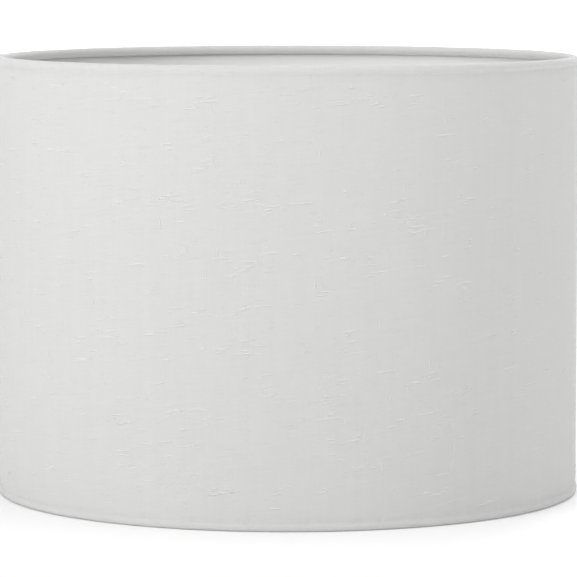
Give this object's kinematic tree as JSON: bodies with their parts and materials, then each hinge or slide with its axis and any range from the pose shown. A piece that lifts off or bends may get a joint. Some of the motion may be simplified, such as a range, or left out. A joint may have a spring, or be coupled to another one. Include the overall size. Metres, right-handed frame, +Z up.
{
  "type": "lamp shade",
  "caption": "Straight drum lamp shade in slub fabric on a stiff liner, with rolled hems over wire rings and a lampholder ring on arms at the bottom.",
  "frame": {"origin": "on the surface that the shade stands on, at the centre of the lower rim", "axes": "+Z up along the drum's axis, from the rim with the arms towards the open rim; +Y from the front to the back, along the first arm; -X towards the seam"},
  "size_m": [0.4, 0.4, 0.3],
  "materials": {
    "slub_cloth": "matt slub weave, off-white",
    "liner": "semi-gloss white film",
    "tape": "matt adhesive tape, cream",
    "coated_wire": "white powder coat on steel wire",
    "coated_sheet": "white powder coat on pressed steel",
    "coated_weld": "white powder coat over weld beads"
  },
  "bodies": {
    "root": {"fabric_cover": "slub_cloth", "liner_panel": "liner", "seam_tape": "tape", "top_ring": "coated_wire", "top_ring_tape": "tape", "bottom_ring": "coated_wire", "bottom_ring_tape": "tape", "ring_welds": "coated_weld", "arm_1": "coated_wire", "arm_2": "coated_wire", "arm_3": "coated_wire", "fitter_ring": "coated_sheet", "fitter_welds": "coated_weld"}
  },
  "joints": []
}
